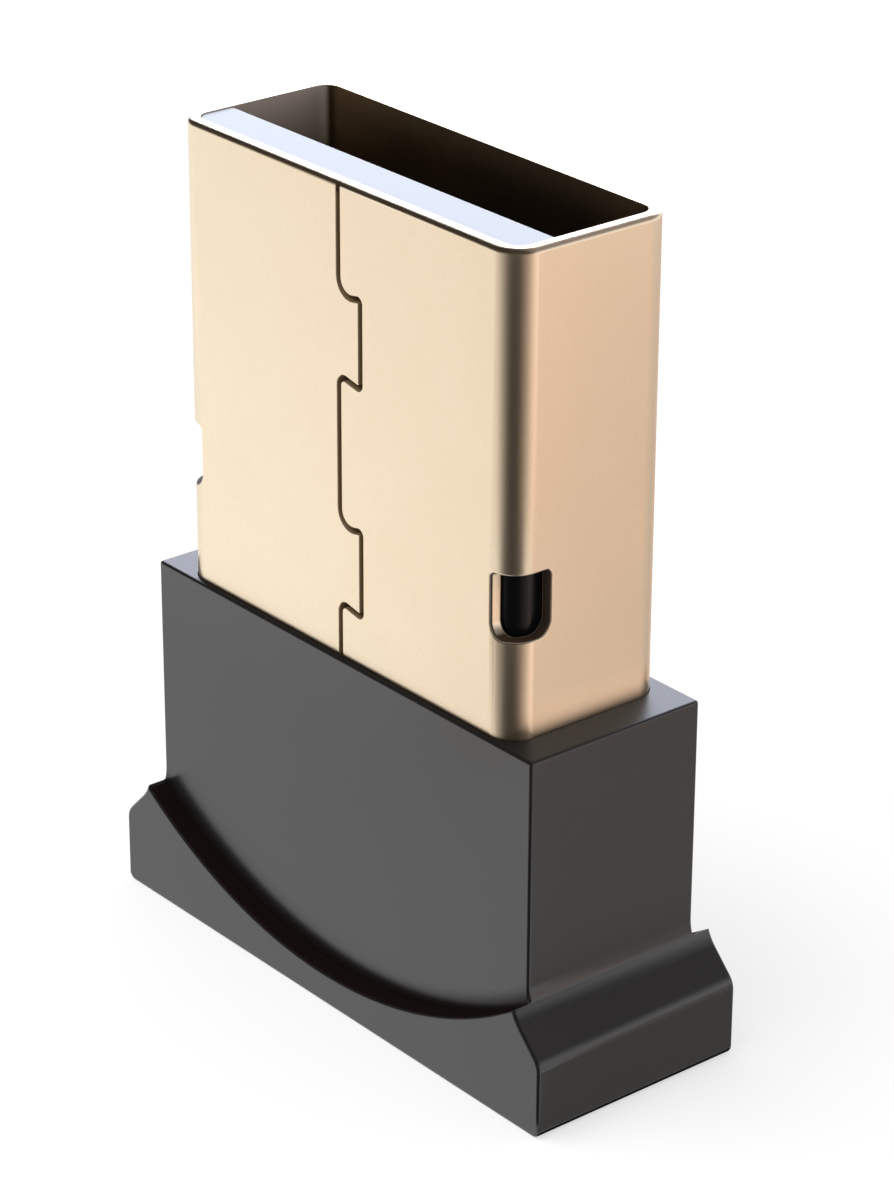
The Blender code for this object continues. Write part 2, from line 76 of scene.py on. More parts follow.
def aimCamera(view):
    roll = math.radians(view["roll"])
    back = direction(view["azimuth"], view["elevation"])
    level = direction(view["azimuth"] + 90, 0)
    upward = back.cross(level)
    right = level * math.cos(roll) + upward * math.sin(roll)
    up = upward * math.cos(roll) - level * math.sin(roll)
    aim = Vector((0, 0, view["aimUp"] * mm)) + right * view["aimAcross"] * mm
    place = Matrix((right, up, back)).transposed().to_4x4()
    place.translation = aim + back * view["distance"] * mm
    lens = bpy.data.cameras.new("camera")
    lens.lens = view["lens"]
    lens.sensor_width = view["sensor"]
    lens.clip_start = view["nearest"] * mm
    lens.clip_end = view["farthest"] * mm
    camera = bpy.data.objects.new("camera", lens)
    scene.collection.objects.link(camera)
    camera.matrix_world = place
    scene.camera = camera


scene = bpy.context.scene
scene.view_settings.view_transform = "Standard"
aimCamera(cameraView)
print("camera set")


# Node trees

class Wire:  # one output of a node; sums on wires lay their own Math nodes
    def __init__(self, board, socket):
        self.board = board
        self.socket = socket

    def sum(self, operation, other=0.0, first=False):  # first puts the other in front
        values = [other, self] if first else [self, other]
        return self.board.add("ShaderNodeMath", values, {"operation": operation})

    def into(self, socket):
        self.board.tree.links.new(self.socket, socket)

    def __add__(self, other):
        return self.sum("ADD", other)

    __radd__ = __add__

    def __sub__(self, other):
        return self.sum("SUBTRACT", other)

    def __rsub__(self, other):
        return self.sum("SUBTRACT", other, True)

    def __mul__(self, other):
        return self.sum("MULTIPLY", other)

    __rmul__ = __mul__

    def __truediv__(self, other):
        return self.sum("DIVIDE", other)

    def __rtruediv__(self, other):
        return self.sum("DIVIDE", other, True)

    def __abs__(self):
        return self.sum("ABSOLUTE")

    def atMost(self, other):
        return self.sum("MINIMUM", other)

    def atLeast(self, other):
        return self.sum("MAXIMUM", other)

    def ease(self, low, high):  # 0 at low, 1 at high, smooth between
        values = {"Value": self, "From Min": low, "From Max": high}
        return self.board.add("ShaderNodeMapRange", values, {"interpolation_type": "SMOOTHSTEP"})

    def easeNear(self, level, span):  # the same over a span in mm, counted from a level
        return self.ease(level + span[0] * mm, level + span[1] * mm)


class Board:  # a node tree and the one way to lay a node on it
    def __init__(self, tree):
        self.tree = tree

    def add(self, kind, values=None, settings=None, output=0):
        node = self.tree.nodes.new(kind)
        for name, value in (settings or {}).items():
            setattr(node, name, value)
        given = values.items() if isinstance(values, dict) else enumerate(values or [])
        for key, value in given:
            socket = node.inputs[key]
            if isinstance(value, Wire):
                value.into(socket)
            else:
                socket.default_value = (*value, 1.0) if socket.type == "RGBA" else value
        return Wire(self, node.outputs[output])

    def colours(self, share, first, second):
        return self.add("ShaderNodeMix", {0: share, 6: first, 7: second}, {"data_type": "RGBA"}, output=2)

    def place(self):  # the object's own x, y and z, in metres
        where = self.add("ShaderNodeTexCoord", output=3)
        return where, self.split(where)

    def split(self, vector):
        parts = self.add("ShaderNodeSeparateXYZ", [vector])
        return [Wire(self, parts.socket.node.outputs[index]) for index in range(3)]

    def noise(self, where, size, detail=2.0, roughness=0.5, stretch=None):  # size of a speck in mm
        if stretch:
            where = self.add("ShaderNodeMapping", {"Vector": where, "Scale": stretch})
        return self.add("ShaderNodeTexNoise", {
            "Vector": where, "Scale": 1 / (size * mm), "Detail": detail, "Roughness": roughness,
        })

    def bump(self, height, depth):  # depth in mm
        return self.add("ShaderNodeBump", {"Height": height, "Distance": depth * mm})

    def seen(self):  # 1 for what is seen straight, in a reflection or through glass
        paths = self.add("ShaderNodeLightPath").socket.node.outputs
        kinds = ("Is Camera Ray", "Is Glossy Ray", "Is Transmission Ray")
        camera, glossy, through = [Wire(self, paths[kind]) for kind in kinds]
        return camera.atLeast(glossy).atLeast(through)


# Near-black matt colour, laid over surfaces as painted shade.
paintedShadeColour = (0.0125, 0.0072, 0.007)


def newMaterial(name, constants, wires, *details):
    material = bpy.data.materials.new(name)
    material.use_nodes = True
    board = Board(material.node_tree)
    shader = material.node_tree.nodes["Principled BSDF"]
    surface = Wire(board, shader.outputs[0])
    for key, value in constants.items():
        shader.inputs[key].default_value = (*value, 1.0) if isinstance(value, tuple) else value
    for key, wire in wires(board, *details).items():
        if key == "Dull":  # share of a matt surface laid over the shader: painted shade
            matt = board.add("ShaderNodeBsdfDiffuse", {"Color": paintedShadeColour})
            surface = board.add("ShaderNodeMixShader", [wire, surface, matt])
        elif key == "Lit":  # light added to the shader
            light = board.add("ShaderNodeEmission", {"Strength": wire})
            surface = board.add("ShaderNodeAddShader", [surface, light])
        else:
            wire.into(shader.inputs[key])
    surface.into(material.node_tree.nodes["Material Output"].inputs["Surface"])
    return material


def startTree(name, inputs):  # inputs are names by kind of socket
    tree = bpy.data.node_groups.new(name, "GeometryNodeTree")
    tree.interface.new_socket("Geometry", in_out="OUTPUT", socket_type="NodeSocketGeometry")
    for kind, labels in inputs.items():
        for label in labels:
            tree.interface.new_socket(label, in_out="INPUT", socket_type="NodeSocket" + kind)
    board = Board(tree)
    start = tree.nodes.new("NodeGroupInput")
    return board, {socket.name: Wire(board, socket) for socket in start.outputs if socket.name}


def endTree(board, shape, material):  # makes copies real and gives all one material
    real = board.add("GeometryNodeRealizeInstances", [shape])
    dressed = board.add("GeometryNodeSetMaterial", {"Geometry": real, "Material": material})
    dressed.into(board.tree.nodes.new("NodeGroupOutput").inputs[0])
    return board.tree


# Mesh tools

def addPiece(name, mesh):
    piece = bpy.data.objects.new(name, mesh)
    scene.collection.objects.link(piece)
    return piece


def pieceFrom(shape, name, material=None):  # an object of a finished bmesh
    mesh = bpy.data.meshes.new(name)
    shape.to_mesh(mesh)
    shape.free()
    if material:
        mesh.materials.append(material)
    return addPiece(name, mesh)


def roundedPath(corners, steps=8, closed=True):  # corners are (across, up, radius)
    path = []
    for index, (across, up, radius) in enumerate(corners):
        corner = Vector((across, up))
        if radius == 0 or (not closed and index in (0, len(corners) - 1)):
            path.append(corner)
            continue
        before = (Vector(corners[index - 1][:2]) - corner).normalized()
        after = (Vector(corners[(index + 1) % len(corners)][:2]) - corner).normalized()
        opening = before.angle(after)
        centre = corner + (before + after).normalized() * radius / math.sin(opening / 2)
        reach = radius / math.tan(opening / 2)
        start = corner + before * reach - centre
        end = corner + after * reach - centre
        turn = math.atan2(start.x * end.y - start.y * end.x, start.dot(end))
        first = math.atan2(start.y, start.x)
        for step in range(steps + 1):
            angle = first + turn * step / steps
            path.append(centre + Vector((math.cos(angle), math.sin(angle))) * radius)
    return path


def rectangle(low, high, radius):
    left, bottom = low
    right, top = high
    return [(left, bottom, radius), (right, bottom, radius), (right, top, radius), (left, top, radius)]


def loft(name, along, sections):  # flat outlines of equal length, each (level, path), skinned in turn
    axis = "xyz".index(along)
    shape = bmesh.new()
    rings = []
    for level, path in sections:
        rings.append([shape.verts.new((*point[:axis], level, *point[axis:])) for point in path])
    for lower, upper in zip(rings, rings[1:]):
        for index in range(len(lower)):
            following = (index + 1) % len(lower)
            shape.faces.new((lower[index], lower[following], upper[following], upper[index]))
    shape.faces.new(rings[0])
    shape.faces.new(rings[-1])
    bmesh.ops.recalc_face_normals(shape, faces=shape.faces)
    return pieceFrom(shape, name)


def prism(name, path, along, low, high):
    return loft(name, along, [(low, path), (high, path)])


def block(name, low, high):
    return prism(name, roundedPath(rectangle(low[:2], high[:2], 0)), "z", low[2], high[2])


def roundEdges(piece, wanted, radius, steps):  # wanted looks at one edge
    shape = bmesh.new()
    shape.from_mesh(piece.data)
    edges = [edge for edge in shape.edges if wanted(edge)]
    bmesh.ops.bevel(
        shape, geom=edges, offset=radius, offset_type="OFFSET", segments=steps,
        profile=0.5, affect="EDGES", clamp_overlap=False,
    )
    shape.to_mesh(piece.data)
    shape.free()


def endsOf(edge):
    return [end.co for end in edge.verts]


def bend(edge):  # angle between the two faces of an edge
    return edge.calc_face_angle(0.0)


def near(value, target):
    return abs(value - target) < samePlace


def settle(piece, modifier):  # keeps what a modifier makes as the plain mesh
    graph = bpy.context.evaluated_depsgraph_get()
    mesh = bpy.data.meshes.new_from_object(piece.evaluated_get(graph))
    piece.modifiers.remove(modifier)
    piece.data = mesh


def carve(piece, tools):  # cuts all tools at once and clears them away
    group = bpy.data.collections.new(piece.name + "Tools")
    scene.collection.children.link(group)
    for tool in tools:
        scene.collection.objects.unlink(tool)
        group.objects.link(tool)
    cut = piece.modifiers.new("cut", "BOOLEAN")
    cut.operation = "DIFFERENCE"
    cut.solver = "EXACT"
    cut.operand_type = "COLLECTION"
    cut.collection = group
    settle(piece, cut)
    for tool in tools:
        bpy.data.objects.remove(tool, do_unlink=True)
    bpy.data.collections.remove(group)
    tidy(piece)


def tidy(piece):
    shape = bmesh.new()
    shape.from_mesh(piece.data)
    bmesh.ops.remove_doubles(shape, verts=shape.verts, dist=mergeWithin)
    bmesh.ops.dissolve_degenerate(shape, edges=shape.edges, dist=shortestEdge)
    midway = [vertex for vertex in shape.verts if len(vertex.link_edges) == 2]
    bmesh.ops.dissolve_verts(shape, verts=midway)  # needless points on an edge
    shape.to_mesh(piece.data)
    shape.free()


def finishPiece(piece, node, material):
    piece.data.materials.clear()
    piece.data.materials.append(material)
    piece.data.shade_smooth()
    piece.data.set_sharp_from_angle(angle=math.radians(sharpAngle))
    weighted = piece.modifiers.new("evenShading", "WEIGHTED_NORMAL")
    weighted.keep_sharp = True
    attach(piece, "root")
    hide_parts(*node)
    return piece


# Finishes

goldLook = dict(
    colour=(0.91, 0.785, 0.60), shade=(0.83, 0.69, 0.50), cloudSize=2.2, cloudShare=0.25,
    speckle=0.55, grain=0.045, grainDepth=0.0007, roughness=0.26, roughnessChange=0.10,
    insideSpan=(0.005, 0.03),  # out from the sheet's inner face
    # Inside colours: painted shade on the wide inner walls, painted light on the narrow walls near the
    # mouth.
    insideWideShade=(0.44, 0.33, 0.20), insideNarrowLit=(0.72, 0.60, 0.52), insideMetal=0.35, insideRougher=0.14,
    narrowSpan=(-0.16, -0.04), litDepth=3.2,  # how far down the mouth the narrow walls get painted light
    cutShadeShares=(0.88, 0.975),  # of the sheet's thickness, from the inner face, over which the cut faces' painted shade fades out
    # cut and seam are painted shade on the cut faces of the windows and the seam.
    cut=(0.055, 0.031, 0.016), seam=(0.31, 0.205, 0.10), cutRougher=0.3, cutDuller=0.9,
    besideSeam=(3, 3.1), brightShares=(0.72, 0.8), brightFacing=(0.6, 0.85), rimSpan=(-0.05, 0),
)


def rough(look, grain):
    return look["roughness"] + grain * look["roughnessChange"]


def goldWires(board):
    look = goldLook
    where, (x, y, z) = board.place()
    sheet = shellSize["sheet"] * mm
    radius = shellSize["cornerRadius"] * mm
    acrossX = abs(x) - (shellHigh.x - radius)
    acrossY = abs(y - shellMiddle) - ((shellHigh.y - shellLow.y) / 2 - radius)
    aroundX, aroundY = acrossX.atLeast(0.0), acrossY.atLeast(0.0)
    squared = aroundX * aroundX + aroundY * aroundY
    reach = squared.sum("SQRT") + acrossX.atLeast(acrossY).atMost(0.0)
    outward = reach - (radius - sheet)  # distance from the sheet's inner face
    inside = 1 - outward.easeNear(0.0, look["insideSpan"])
    facing = abs(board.split(board.add("ShaderNodeNewGeometry", output=1))[0])
    below = 1 - z.easeNear(shellHigh.z - 2 * shellSize["rimRounding"] * mm, look["rimSpan"])
    aside = abs(x).easeNear(0.0, look["besideSeam"])
    share = outward / sheet
    # Painted shade on the cut faces, darker except near the outer face; the bright strip facing sideways
    # is left without it.
    bright = facing.ease(*look["brightFacing"]) * aside * (1 - share.ease(*look["brightShares"]))
    cut = (1 - share.ease(*look["cutShadeShares"])) * below * (1 - bright) * (1 - inside)
    # Painted shade and light inside the sheet: wide inner walls darker, narrow walls lighter towards the
    # mouth.
    lit = z.ease(shellHigh.z - look["litDepth"] * mm, shellHigh.z)
    narrow = abs(x).easeNear(shellHigh.x - sheet, look["narrowSpan"]) * lit
    clouds = board.noise(where, look["cloudSize"], 3.0)
    grain = board.noise(where, look["grain"], 3.0, 0.6)
    tone = board.colours(clouds.ease(0.3, 0.75) * look["cloudShare"], look["colour"], look["shade"])
    speckled = board.colours(grain.ease(0.35, 0.75) * look["speckle"], tone, look["shade"])
    within = board.colours(narrow, look["insideWideShade"], look["insideNarrowLit"])
    cutShadeTone = board.colours(aside, look["seam"], look["cut"])
    return {
        "Base Color": board.colours(inside, board.colours(cut, speckled, cutShadeTone), within),
        "Metallic": 1 - cut * look["cutDuller"] - inside * narrow * (1 - look["insideMetal"]),
        "Roughness": rough(look, grain) + inside * look["insideRougher"] + cut * look["cutRougher"],
        "Normal": board.bump(grain, look["grainDepth"]),
    }


plasticLook = dict(
    colour=(0.0145, 0.0144, 0.0148), fleck=(0.0165, 0.0158, 0.0158), fleckSize=3.0,
    roughness=0.19, roughnessChange=0.08, grain=0.06, grainDepth=0.0004,
    topRougher=0.15, topSpan=(-0.02, -0.005), ledgeFacing=(0.05, 0.2), ledgeSpan=(-0.002, 0.004),
    edgeShare=0.7, edgeSpan=(-0.01, 0.01),  # most of the rounded edge gets no painted shade
    endSpan=(-0.02, 0.03), shadeSpan=(0.05, 0.6), shadeFoot=(-0.02, 0.0),  # painted shade fading up from the arch
)


def plasticWires(board):
    look = plasticLook
    where, (x, y, z) = board.place()
    face = housingSize["bodyDepth"] / 2 * mm
    half = housingSize["bodyWidth"] / 2 * mm
    skirt = housingHigh.y - look["edgeShare"] * housingSize["edgeRadius"] * mm
    upward = board.split(board.add("ShaderNodeNewGeometry", output=1))[2]
    # Painted shade: the step's ledge and a band just above the arch get a near-black matt layer.
    between = abs(y).easeNear(face, look["ledgeSpan"]) * (1 - abs(y).easeNear(skirt, look["edgeSpan"]))
    ledge = between * upward.ease(*look["ledgeFacing"])
    radius, lowest = archCircle()
    rest = radius ** 2 - x * x
    over = z - (lowest + radius - rest.sum("SQRT"))
    shade = (1 - over.easeNear(0.0, look["shadeSpan"])) * abs(y).easeNear(face, look["topSpan"])
    shade = shade * over.easeNear(0.0, look["shadeFoot"]) * (1 - between)
    paintedCreaseShade = ledge.atLeast(shade) * (1 - abs(x).easeNear(half, look["endSpan"]))
    top = z.easeNear(housingHigh.z, look["topSpan"])
    grain = board.noise(where, look["grain"], 2.0, 0.55)
    clouds = board.noise(where, look["fleckSize"], 2.0)
    return {
        "Dull": paintedCreaseShade,
        "Base Color": board.colours(clouds.ease(0.3, 0.7), look["colour"], look["fleck"]),
        "Roughness": rough(look, grain) + top * look["topRougher"],
        "Normal": board.bump(grain, look["grainDepth"]),
    }


tongueLook = dict(
    end=(0.375, 0.415, 0.485), endFleck=(0.36, 0.40, 0.47), fleckShare=0.2, body=(0.02, 0.02, 0.021),
    endSpan=(-0.12, -0.084),  # down from the tongue's end, where the pale tone fades into the dark body, painted shade for the cavity
    roughness=0.3, roughnessChange=0.08, grain=0.08,
)


def tongueWires(board):
    look = tongueLook
    where, (x, y, z) = board.place()
    grain = board.noise(where, look["grain"], 2.0)
    pale = board.colours(grain * look["fleckShare"], look["end"], look["endFleck"])
    # The dark body below the pale end is painted shade that keeps the mouth's cavity dark.
    top = z.easeNear(tongueHigh.z, look["endSpan"])
    return {"Base Color": board.colours(top, look["body"], pale), "Roughness": rough(look, grain)}


innerLook = dict(colour=(0.004, 0.0045, 0.005), roughness=0.16, roughnessChange=0.1, speck=(0.1,))
contactLook = dict(colour=(0.92, 0.72, 0.34), roughness=0.16, roughnessChange=0.16,
                   speck=(0.05, 3.0, 0.5, (1, 1, 0.1)))  # drawn out up the strips


def speckWires(board, look):
    return {"Roughness": rough(look, board.noise(board.place()[0], *look["speck"]))}


shellSize = dict(
    sheet=0.3, cornerRadius=0.68, cornerSteps=18, rimRounding=0.13, rimSteps=6,
    windowBelowRim=7.48, windowHeight=1.58, windowOnFace=0.71, windowOnSide=1.14,
    windowLowerRadius=0.35, windowUpperRadius=0.12, windowRounding=0.055,
    windowCrisp=0.8,  # radians between two faces, from which their edge is rounded
    onSkin=0.004, legWidth=1.0,
    seamGap=0.135, seamLip=0.022, lipSteps=4, seamBelowRim=0.05, slitOverlap=0.05, rimSlit=0.03,
    mitre=0.3,  # the least that a bend's width is divided by
    toolBefore=0.2, toolBehind=0.3,  # how far the seam's tools reach past the sheet
    tabs=2, tabReach=0.77, tabTipHeight=2.13, tabFlare=0.15, tabUpperRootRadius=0.42,
    tabLowerRootRadius=0.2, tabTipRadius=0.095, firstTabBelowRim=3.6, tabPitch=5.57,
)
shellMiddle = (shellLow.y + shellHigh.y) / 2
windowTop = shellHigh.z - shellSize["windowBelowRim"] * mm
windowLow = windowTop - shellSize["windowHeight"] * mm

housingSize = dict(
    bodyWidth=13.84, bodyDepth=4.98, bandHeight=1.91, slopeRise=0.99,
    skirtRadius=0.2, ridgeRadius=0.5, coveRadius=1.1, archLowest=0.8, archSteps=140,
    edgeRadius=0.078, edgeCrisp=0.7,  # radians, as at the windows
    cornerSpan=0.3, mouthClear=0.1, pocketSpare=0.02, seatLedge=0.24, floor=0.8, boardSlot=0.3,
)


def archCircle():  # radius of the step's arch, and its lowest point
    half = housingSize["bodyWidth"] / 2 * mm
    lowest = housingSize["archLowest"] * mm
    sag = (housingSize["bandHeight"] + housingSize["slopeRise"]) * mm - lowest
    return (half ** 2 + sag ** 2) / (2 * sag), lowest


goldPlate = newMaterial("goldPlate", {}, goldWires)
blackPlastic = newMaterial("blackPlastic", {"IOR": 1.69}, plasticWires)
tonguePlastic = newMaterial("tonguePlastic", {"IOR": 1.5}, tongueWires)
innerBlack = newMaterial(
    "innerBlack", {"IOR": 1.37, "Base Color": innerLook["colour"]}, speckWires, innerLook,
)
contactGold = newMaterial(
    "contactGold", {"Metallic": 1.0, "Base Color": contactLook["colour"]}, speckWires, contactLook,
)
print("finishes mixed")


# Plug shell

def sheetTree():  # a sheet's section swept round a rounded rectangle
    lengths = ["Width", "Depth", "Corner Radius", "Sheet", "Low", "High", "Rim Rounding", "Centre"]
    inputs = {"Float": lengths, "Int": ["Corner Steps"], "Material": ["Material"]}
    board, given = startTree("foldedSheet", inputs)
    sheet = given["Sheet"]
    outline = board.add("GeometryNodeCurvePrimitiveQuadrilateral", {
        "Width": given["Width"] - sheet, "Height": given["Depth"] - sheet,
    })
    corners = board.add("GeometryNodeFilletCurve", {
        "Curve": outline, "Count": given["Corner Steps"], "Radius": given["Corner Radius"] - sheet / 2,
    }, {"mode": "POLY"})
    section = board.add("GeometryNodeCurvePrimitiveQuadrilateral", {
        "Width": sheet, "Height": given["High"] - given["Low"],
    })
    x, y, z = board.split(board.add("GeometryNodeInputPosition"))
    atRim = x.sum("GREATER_THAN") * y.sum("LESS_THAN")  # the section hangs upside down
    radius = atRim * given["Rim Rounding"] + leastRadius
    rounded = board.add("GeometryNodeFilletCurve", {
        "Curve": section, "Count": shellSize["rimSteps"], "Radius": radius,
    }, {"mode": "POLY"})
    lift = board.add("ShaderNodeCombineXYZ", {"Y": (given["High"] + given["Low"]) / -2})
    hung = board.add("GeometryNodeTransform", {"Geometry": rounded, "Translation": lift})
    swept = board.add("GeometryNodeCurveToMesh", {"Curve": corners, "Profile Curve": hung})
    shift = board.add("ShaderNodeCombineXYZ", {"Y": given["Centre"]})
    placed = board.add("GeometryNodeTransform", {"Geometry": swept, "Translation": shift})
    return endTree(board, placed, given["Material"])


def growPiece(name, tree, values, seed=None):  # runs a tree once and keeps the plain mesh
    piece = seed or addPiece(name, bpy.data.meshes.new(name))
    grown = piece.modifiers.new(name, "NODES")
    grown.node_group = tree
    for item in tree.interface.items_tree:
        if item.in_out == "INPUT" and item.name in values:
            grown[item.identifier] = values[item.name]
    settle(piece, grown)
    return piece


def seamOutline(width):  # the closed outline of the gap, in x and z
    size = shellSize
    line = [(0.0, shellHigh.z - size["seamBelowRim"] * mm, 0.0)]
    for number in range(size["tabs"]):
        middle = shellHigh.z - (size["firstTabBelowRim"] + number * size["tabPitch"]) * mm
        tip = size["tabTipHeight"] / 2 * mm
        root = tip - size["tabFlare"] * mm
        reach = size["tabReach"] * mm
        line += [
            (0.0, middle + root, size["tabUpperRootRadius"] * mm),
            (reach, middle + tip, size["tabTipRadius"] * mm),
            (reach, middle - tip, size["tabTipRadius"] * mm),
            (0.0, middle - root, size["tabLowerRootRadius"] * mm),
        ]
    line.append((0.0, shellLow.z - toolPast, 0.0))
    path = roundedPath(line, closed=False)
    sides = [[], []]
    for index, point in enumerate(path):
        before = path[max(index - 1, 0)]
        after = path[min(index + 1, len(path) - 1)]
        into = (point - before).normalized() if index else (after - point).normalized()
        outof = (after - point).normalized() if index < len(path) - 1 else into
        across = (into + outof).normalized().orthogonal()
        across *= width / 2 * mm / max(size["mitre"], across.dot(into.orthogonal()))
        sides[0].append(point + across)
        sides[1].append(point - across)
    return sides[0] + sides[1][::-1]


def seamTool():  # a slit whose lips are rounded at the sheet's outer face
    size = shellSize
    face = shellLow.y
    gap, lip = size["seamGap"], size["seamLip"]
    sections = [(face + (size["sheet"] + size["toolBehind"]) * mm, seamOutline(gap))]
    for step in range(size["lipSteps"] + 1):
        angle = math.pi / 2 * step / size["lipSteps"]
        depth = lip * (1 - math.sin(angle))
        sections.append((face + depth * mm, seamOutline(gap + 2 * lip * (1 - math.cos(angle)))))
    sections.append((face - size["toolBefore"] * mm, sections[-1][1]))
    return loft("seamTool", "y", sections)


def windowTool(name, side):  # side is 1 at +X and -1 at -X
    size = shellSize
    inner = side * (shellHigh.x - size["windowOnFace"] * mm)
    outer = side * (shellHigh.x + toolPast)
    front = shellLow.y - toolPast
    back = shellLow.y + size["windowOnSide"] * mm
    tool = block(name, (min(inner, outer), front, windowLow), (max(inner, outer), back, windowTop))

    def cornerAt(level):
        def wanted(edge):
            ends = endsOf(edge)
            flat = all(near(end.z, level) for end in ends)
            onFace = all(near(end.x, inner) for end in ends)
            onSide = all(near(end.y, back) for end in ends)
            return flat and (onFace or onSide)
        return wanted

    roundEdges(tool, cornerAt(windowLow), size["windowLowerRadius"] * mm, steps=8)
    roundEdges(tool, cornerAt(windowTop), size["windowUpperRadius"] * mm, steps=5)
    return tool


def onShellSkin(point):
    radius = shellSize["cornerRadius"] * mm
    fromX = abs(point.x) - (shellHigh.x - radius)
    fromY = abs(point.y - shellMiddle) - ((shellHigh.y - shellLow.y) / 2 - radius)
    reach = math.hypot(max(fromX, 0.0), max(fromY, 0.0)) + min(max(fromX, fromY), 0.0)
    return abs(reach - radius) < shellSize["onSkin"] * mm


def makeShell():
    size = shellSize
    shell = growPiece("plugShell", sheetTree(), {
        "Width": shellHigh.x - shellLow.x, "Depth": shellHigh.y - shellLow.y,
        "Corner Radius": size["cornerRadius"] * mm, "Corner Steps": size["cornerSteps"],
        "Sheet": size["sheet"] * mm, "Low": shellLow.z, "High": shellHigh.z,
        "Rim Rounding": size["rimRounding"] * mm, "Centre": shellMiddle, "Material": goldPlate,
    })
    tidy(shell)
    reach = shellHigh.x + toolPast
    front, back = shellLow.y - toolPast, shellHigh.y + toolPast
    under = shellLow.z - toolPast
    over = 4 * reach  # well above the rim
    legFront = shellLow.y + size["cornerRadius"] * mm
    legBack = legFront + size["legWidth"] * mm
    slit = size["rimSlit"] / 2 * mm
    slitLow = shellHigh.z - (size["seamBelowRim"] + size["slitOverlap"]) * mm
    slitBack = shellLow.y + (size["sheet"] + size["toolBehind"]) * mm
    carve(shell, [
        block("legFrontTool", (-reach, front, under), (reach, legFront, retainerLow.z)),
        block("legBackTool", (-reach, legBack, under), (reach, back, retainerLow.z)),
        windowTool("windowToolRight", 1),
        windowTool("windowToolLeft", -1),
        seamTool(),
        block("rimSlitTool", (-slit, front, slitLow), (slit, slitBack, over)),
    ])

    def stamped(edge):
        ends = endsOf(edge)
        aside = all(abs(end.x) > shellHigh.x / 2 for end in ends)
        beside = all(windowLow - samePlace < end.z < windowTop + samePlace for end in ends)
        crisp = bend(edge) > size["windowCrisp"]
        return aside and beside and crisp and all(onShellSkin(end) for end in ends)

    roundEdges(shell, stamped, size["windowRounding"] * mm, steps=3)
    return finishPiece(shell, ["plug_shell"], goldPlate)


plugShell = makeShell()
print("plug shell folded,", len(plugShell.data.polygons), "faces")


# Tongue, retainer and contacts

insertSize = dict(
    cornerRadius=0.36, blockRadius=0.55, edgeRounding=0.05, grooveSpare=0.02,
    grooveOpen=0.05,  # how far a groove's tool reaches past the tongue
)
contactSize = dict(
    width=1.0, tailWidth=0.7, tipRadius=0.2, tipSteps=6, noseDrop=0.08, noseLength=0.9, edgeRounding=0.04,
    shoulder=7.42,  # height where the tail widens to the blade
)
contactNodes = ["contact_vbus", "contact_data_minus", "contact_data_plus", "contact_ground"]


def grooveTools(low):
    spare = insertSize["grooveSpare"] * mm
    half = (contactSize["width"] / 2 + insertSize["grooveSpare"]) * mm
    back = tongueHigh.y + insertSize["grooveOpen"] * mm
    tools = []
    for name in contactNodes:
        first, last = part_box(name)
        middle = (first.x + last.x) / 2
        corner, opposite = (middle - half, first.y - spare, low), (middle + half, back, last.z + spare)
        tools.append(block(name + "Tool", corner, opposite))
    return tools


def makeTongue():
    corner = insertSize["cornerRadius"] * mm
    plan = [
        (tongueLow.x, tongueLow.y, corner), (tongueHigh.x, tongueLow.y, corner),
        (tongueHigh.x, tongueHigh.y, 0.0), (tongueLow.x, tongueHigh.y, 0.0),
    ]
    tongue = prism("contactTongue", roundedPath(plan, steps=10), "z", tongueLow.z, tongueHigh.z)

    def endEdge(edge):  # along the tongue's end, on the contacts' side
        return all(near(end.z, tongueHigh.z) and near(end.y, tongueHigh.y) for end in endsOf(edge))

    roundEdges(tongue, endEdge, insertSize["edgeRounding"] * mm, steps=4)
    carve(tongue, grooveTools(tongueLow.z - toolPast))
    return finishPiece(tongue, ["contact_tongue"], tonguePlastic)


def makeRetainer():
    front, back = retainerLow.y, retainerHigh.y
    step = tongueHigh.y
    side = [
        (front, retainerLow.z, 0.0), (back, retainerLow.z, 0.0), (back, windowLow, 0.0),
        (step, windowLow, 0.0), (step, retainerHigh.z, 0.0), (front, retainerHigh.z, 0.0),
    ]
    retainer = prism("rearRetainer", roundedPath(side), "x", retainerLow.x, retainerHigh.x)

    def uprightAt(level):
        def wanted(edge):
            first, second = endsOf(edge)
            return near(first.y, level) and near(second.y, level) and near(first.x, second.x)
        return wanted

    roundEdges(retainer, uprightAt(front), insertSize["blockRadius"] * mm, steps=10)
    roundEdges(retainer, uprightAt(back), insertSize["cornerRadius"] * mm, steps=8)
    carve(retainer, grooveTools(retainerLow.z - toolPast))
    return finishPiece(retainer, ["rear_retainer"], innerBlack)


def makeBlade(low, high, back, front):  # a strip at x = 0: tail, shoulder, blade, tip
    size = contactSize
    tip = size["tipRadius"]
    shoulder = size["shoulder"] * mm
    flare = (size["width"] - size["tailWidth"]) / 2 * mm
    widths = [(low, size["tailWidth"]), (shoulder, size["tailWidth"]), (shoulder + flare, size["width"])]
    for step in range(size["tipSteps"] + 1):
        angle = math.pi / 2 * step / size["tipSteps"]
        width = size["width"] - 2 * tip * (1 - math.cos(angle))
        widths.append((high - (1 - math.sin(angle)) * tip * mm, width))
    sections = []
    for level, width in widths:
        bow = max(0.0, 1 - (high - level) / (size["noseLength"] * mm)) ** 2 * size["noseDrop"] * mm
        plan = rectangle((-width / 2 * mm, front), (width / 2 * mm, back - bow), size["edgeRounding"] * mm)
        sections.append((level, roundedPath(plan, steps=3)))
    return loft("contactBlades", "z", sections)


